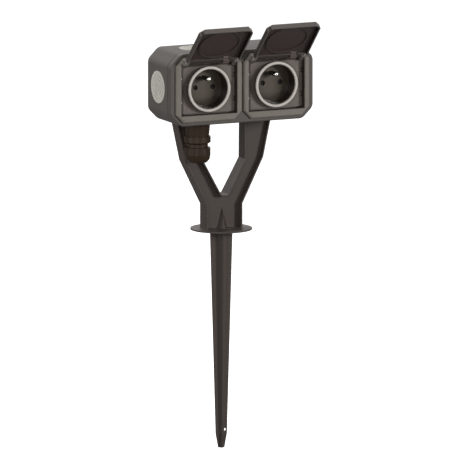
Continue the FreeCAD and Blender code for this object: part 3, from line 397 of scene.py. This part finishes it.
def on_tray_sides(finish):
    """Painted shade on the side walls inside a lid's rim."""
    return in_tray(finish) * abs(finish.off_centre()).over(TRAY_SIDE - 0.6 * MM)


def on_lid_sides(finish):
    """Painted shade on the narrow side walls outside a lid."""
    return abs(abs(finish.off_centre()) - LID_SIDE).under(0.25 * MM)


def on_hinge(finish):
    """The hinge barrel and knuckles between the frame's ears, darkened with painted shade."""
    round_pin = reach(finish.along(HINGE, LID_WAY), finish.along(HINGE, LID_OUTWARDS)).under(KNUCKLE_RADIUS)
    return round_pin * abs(finish.off_centre()).under(EAR_INSIDE)


def in_blade_corner(finish):
    """Painted shade in the corner to the left of the blade's front rib, which narrows as the blade tapers.
    """
    down = finish.along(ORIGIN, DOWN)
    share = finish.along(ORIGIN, RIGHT) / (BLADE_HALF - down * BLADE_TAPER)
    band = share.over(-0.72, fade=0.125) * share.under(-0.14, fade=0.125)
    in_front = finish.forward().over(0.0)
    return band * in_front * (1 - down.under(0.0))


def behind_tip(finish):
    """An earth pin behind its rounded tip, painted dark as a dark reflection of the well."""
    return finish.forward().under(PIN_TIP)


# Kinds of finish

def moulded(name, colour, grain=1600, depth=0.03, rough=0.5, speckle=0.0, edge=0.3, streak=0.0, gloss=0.2,
            contrast=0.10, wear_and_sheen=0.55, edge_paleness=1.5, areas=()):
    """Moulded plastic: eroded grain, slight clouding, paler edges that are partly wear and partly painted
    highlight and, where wanted, flow streaks.

    Each area has a colour, a share of it and a roughness of its own, and a shallower grain; most areas
    carry painted shade, shadow or highlight."""
    finish = Finish(name)
    normal, edges = finish.rounded(edge * MM)
    fine = finish.noise(grain, detail=3.0, rough=0.65)
    cloud = finish.noise(CLOUDS, detail=4.0, rough=0.6)
    pale = scaled(colour, 1 + contrast)
    shade = finish.between(cloud, scaled(colour, 1 - contrast), pale)
    if speckle:
        dots = finish.noise(grain * SPECKLE_SCALE, detail=1.0, rough=0.5).over(SPECKLE_START, fade=1 / 9)
        shade = finish.between(dots * speckle, shade, scaled(colour, SPECKLE_SHADE, lift=0.01))
    if streak:
        flow = finish.noise(STREAKS, detail=3.0, rough=0.55, where=finish.stretched((6.0, 6.0, 0.5)))
        shade = finish.between(flow.over(0.5, fade=1 / 3) * streak, shade, pale)
    # Paler edges: partly real wear, partly painted highlight on lit rims and rib edges.
    uneven = cloud * 0.9 + 0.1
    shade = finish.between(edges * uneven * wear_and_sheen, shade, scaled(colour, edge_paleness, lift=0.015))
    roughness = (fine - 0.5) * GRAIN_ROUGHNESS + (cloud - 0.5) * CLOUD_ROUGHNESS
    roughness = (roughness + rough - edges * WORN_SMOOTHNESS).clamped()
    height = fine
    for area, own, share, own_rough in areas:
        inside = area(finish)
        shade = finish.between(inside * share, shade, own)
        roughness = roughness + inside * (own_rough - rough)
        height = height * (1 - inside * AREA_SMOOTHNESS)
    return finish.surface(Base_Color=shade, Roughness=roughness, IOR=1.5, Specular_IOR_Level=gloss,
                          Normal=finish.bump(height, depth * MM, normal))


def soft_rubber(name, colour, grain=1800, depth=0.04, rough=0.72, dust=0.2, edge=0.25, contrast=0.12):
    """Rubber: fine matt skin with a little pale bloom on it."""
    finish = Finish(name)
    normal, edges = finish.rounded(edge * MM)
    skin = finish.noise(grain, detail=4.0, rough=0.7)
    bloom = finish.noise(BLOOM, detail=5.0, rough=0.65).over(0.42, fade=1 / 2.2)
    pale = scaled(colour, 1 + contrast, lift=0.012)
    mottled = ((skin - 0.5) * 2.5 + bloom * dust + 0.3).clamped()
    shade = finish.between(mottled, scaled(colour, 1 - contrast), pale)
    shade = finish.between(edges * 0.3, shade, pale)
    roughness = (skin * 0.14 + bloom * 0.08 + rough - 0.08).clamped()
    return finish.surface(Base_Color=shade, Roughness=roughness, IOR=1.5, Specular_IOR_Level=0.35,
                          Normal=finish.bump(skin, depth * MM, normal))


def metal(name, colour, rough, lines=(900, 900, 40), stain=0.25, depth=0.012, edge=0.15, dulled=None,
          painted_dark_tone=None):
    """Drawn, turned or plated metal: fine lines, faint stains, paler edges and, if wanted, a rougher area
    with painted dark reflection.
    """
    finish = Finish(name)
    normal, edges = finish.rounded(edge * MM)
    drawn = finish.noise(1.0, detail=3.0, rough=0.6, where=finish.stretched(lines))
    spots = finish.noise(STAINS, detail=4.0, rough=0.6).over(0.5, fade=0.4)
    shade = finish.between(spots * stain, colour, scaled(colour, STAIN_SHADE))
    shade = finish.between(edges * 0.6, shade, scaled(colour, EDGE_SHADE))
    roughness = ((drawn - 0.5) * 0.22 + spots * 0.12 + rough).clamped()
    if dulled:
        inside = dulled(finish)
        shade = finish.between(inside * PAINTED_DARK_SHARE, shade, painted_dark_tone)
        roughness = roughness + inside * DULL_ROUGHNESS
    return finish.surface(Base_Color=shade, Metallic=1.0, Roughness=roughness,
                          Normal=finish.bump(drawn, depth * MM, normal))


HOUSING = moulded("housing_anthracite", tone(82, 78, 75), grain=1300, rough=0.52, gloss=0.12)
COVER = moulded("cover_anthracite", tone(76, 71, 67), grain=1300)
FRAME = moulded(
    "frame_satin", tone(104, 98, 92), grain=1300, depth=0.035, rough=0.46, speckle=0.25, wear_and_sheen=1.0,
    areas=(
        # Painted shade on the recess walls
        (in_recess, tone(38, 29, 26), 0.9, 0.5),
        # Painted shade on the hinge
        (on_hinge, tone(64, 53, 49), 0.8, 0.65),
        # Painted shade along the recess's left edge
        (on_left_edge, tone(50, 41, 37), 0.8, 0.5),
        # Painted glints at the lugs
        (on_lug_glints, tone(190, 186, 180), 0.8, 0.4),
    ))
PLATE = moulded(
    "plate_spark_grain", tone(94, 87, 82), grain=1000, depth=0.07, rough=0.58, speckle=0.4,
    areas=(
        # Painted shade round the collar
        (round_collar, tone(50, 38, 34), 0.45, 0.6),
        # Painted shadow under the hinge
        (under_hinge, tone(34, 23, 20), 0.9, 0.6),
        (in_well, tone(68, 60, 52), 0.9, 0.4),
        # Painted shade low and right in the well
        (low_in_well, tone(36, 29, 23), 0.65, 0.4),
        # Painted shade on the well's wall
        (on_well_wall, tone(38, 29, 25), 0.8, 0.4),
        # Painted shade in the pole holes
        (in_pole_holes, tone(14, 11, 9), 0.95, 0.6),
        # Painted shadow of the earth pin
        (beside_pin, tone(20, 18, 15), 0.8, 0.4),
        # Painted shade at the plate's left margin
        (on_left_margin, tone(44, 35, 31), 0.7, 0.6),
    ))
LID = moulded(
    "lid_satin", tone(84, 79, 75), grain=1700, depth=0.018, rough=0.42, wear_and_sheen=1.0, edge_paleness=2.0,
    areas=(
        (in_tray, tone(50, 39, 36), 0.9, 0.34),
        # Painted shade on the tray's side walls
        (on_tray_sides, tone(20, 12, 10), 0.9, 0.5),
        # Painted shade on the lid's outer side walls
        (on_lid_sides, tone(44, 36, 33), 0.75, 0.45),
        # Painted shade on the hinge
        (on_hinge, tone(34, 25, 22), 0.9, 0.75),
    ))
SPIKE = moulded(
    "spike_satin", tone(61, 53, 49), grain=1500, depth=0.022, rough=0.46, streak=0.5, wear_and_sheen=1.0, edge_paleness=2.3,
    edge=0.4, gloss=0.24,
    areas=(
        # Painted shade in the blade's corner
        (in_blade_corner, tone(38, 31, 27), 0.8, 0.55),
    ))
GLAND = moulded("gland_polyamide", tone(38, 26, 13), depth=0.02, rough=0.40, gloss=0.22)
CARRIER = moulded("carrier_off_white", tone(214, 210, 200), depth=0.02, rough=0.45, contrast=0.05)
SHUTTER = moulded("shutter_near_black", tone(15, 13, 12), depth=0.02, rough=0.6, gloss=0.15)
RING = soft_rubber("ring_light_grey", tone(178, 172, 165), dust=0.3)
MEMBRANE = soft_rubber("membrane_warm_grey", tone(182, 179, 170), grain=900, depth=0.06, dust=0.4, edge=0.1,
                       contrast=0.28)
DARK_SEAL = soft_rubber("seal_near_black", tone(46, 36, 33))
GASKET = soft_rubber("gasket_black", tone(32, 30, 28))
BRASS = metal("contact_brass", tone(205, 170, 110), rough=0.32)
# The pin behind its tip gets a painted dark reflection
NICKEL = metal("pin_nickel", tone(222, 218, 210), rough=0.18, stain=0.1, depth=0.006, dulled=behind_tip,
               painted_dark_tone=tone(40, 34, 30))
ZINC = metal("screw_zinc", tone(186, 188, 190), rough=0.34, lines=(500, 500, 500))
BLACKENED = metal("screw_blackened", tone(52, 48, 45), rough=0.5, lines=(500, 500, 500))
WIRE = metal("wire_stainless", tone(170, 170, 170), rough=0.28, lines=(40, 900, 900))

FINISHES = {
    "spike_plastic": SPIKE,
    "box_plastic": HOUSING,
    "cover_plastic": COVER,
    "frame_plastic": FRAME,
    "plate_plastic": PLATE,
    "lid_plastic": LID,
    "gland_plastic": GLAND,
    "carrier_plastic": CARRIER,
    "shutter_plastic": SHUTTER,
    "ring_rubber": RING,
    "membrane_rubber": MEMBRANE,
    "seal_rubber": DARK_SEAL,
    "gasket_rubber": GASKET,
    "contact_brass": BRASS,
    "pin_nickel": NICKEL,
    "pin_steel": WIRE,
    "spring_steel": WIRE,
    "screw_steel": ZINC,
}
NODE_FINISHES = {"cover_screws": BLACKENED}
for part in frame["record"]["subparts"]:
    materials = frame["nodes"][part["node"]].data.materials
    materials.clear()
    materials.append(NODE_FINISHES.get(part["node"], FINISHES[part["material_slot"]]))

# Each shutter's spring, which is pressed together as the shutter goes down, gets a mesh of its own.
for side in ("left", "right"):
    spring = f"shutter_spring_{side}"
    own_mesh(frame["nodes"][spring])


# Floor, lamps and camera

def floor():
    """A floor that looks white to the camera and stays plain for the object's own light."""
    mesh = bpy.data.meshes.new("floor")
    shape = bmesh.new()
    bmesh.ops.create_grid(shape, x_segments=1, y_segments=1, size=FLOOR_HALF)
    bmesh.ops.translate(shape, verts=shape.verts, vec=(0, 0, cad_box[0][2] - FLOOR_GAP))
    shape.to_mesh(mesh)
    shape.free()
    piece = bpy.data.objects.new("floor", mesh)
    bpy.context.collection.objects.link(piece)
    finish = Finish("pale_floor")
    seen = finish.background_seen()
    plain = finish.node("ShaderNodeBsdfDiffuse", {}, {"Color": grey(FLOOR_PLAIN)}).value()
    pale = finish.node("ShaderNodeBsdfDiffuse", {}, {"Color": grey(FLOOR_PALE)}).value()
    white = finish.node("ShaderNodeEmission", {}, {"Color": grey(1.0), "Strength": FLOOR_GLOW}).value()
    lit = finish.node("ShaderNodeAddShader", {}, {0: pale, 1: white}).value()
    mixed = finish.node("ShaderNodeMixShader", {}, {0: seen, 1: plain, 2: lit}).value()
    finish.node("ShaderNodeOutputMaterial", {}, {"Surface": mixed})
    mesh.materials.append(finish.material)


def world():
    """A white background that the camera, gloss and clear things see, and a dim light for the rest."""
    studio = bpy.data.worlds.new("studio")
    bpy.context.scene.world = studio
    tree = Tree(studio)
    seen = tree.background_seen("Is Glossy Ray", "Is Transmission Ray")
    shade = tree.between(seen, grey(WORLD_DIM), grey(1.0))
    background = tree.node("ShaderNodeBackground", {}, {"Color": shade}).value()
    tree.node("ShaderNodeOutputWorld", {}, {"Surface": background})


def lamp(name, place, size, power):
    """A round soft lamp, placed in metres, with its width in metres and its power in watts."""
    data = bpy.data.lights.new(name, "AREA")
    data.shape = "DISK"
    data.size = size
    data.energy = power
    item = bpy.data.objects.new(name, data)
    item.location = place
    item.rotation_euler = (LAMP_AIM - Vector(place)).to_track_quat("-Z", "Y").to_euler()
    bpy.context.collection.objects.link(item)


def camera():
    """A camera without perspective, turned and tilted as the photo's was."""
    level = math.cos(CAMERA_TILT)
    back = Vector((math.sin(CAMERA_TURN) * level, -math.cos(CAMERA_TURN) * level, math.sin(CAMERA_TILT)))
    data = bpy.data.cameras.new("camera")
    data.type = "ORTHO"
    data.ortho_scale = VIEW_WIDTH
    data.clip_end = VIEW_END
    item = bpy.data.objects.new("camera", data)
    item.location = VIEW_MIDDLE + back * CAMERA_AWAY
    item.rotation_euler = (-back).to_track_quat("-Z", "Y").to_euler()
    bpy.context.collection.objects.link(item)
    bpy.context.scene.camera = item


floor()
world()
lamp("key", place=(1.1, -1.8, 0.55), size=0.5, power=30)
lamp("left", place=(-1.1, -1.8, 0.55), size=1.1, power=20)
lamp("side", place=(-2.1, -0.2, 0.4), size=0.9, power=19)
lamp("top", place=(-0.1, 0.9, 1.9), size=1.0, power=37)
camera()
bpy.context.scene.view_settings.view_transform = "Standard"
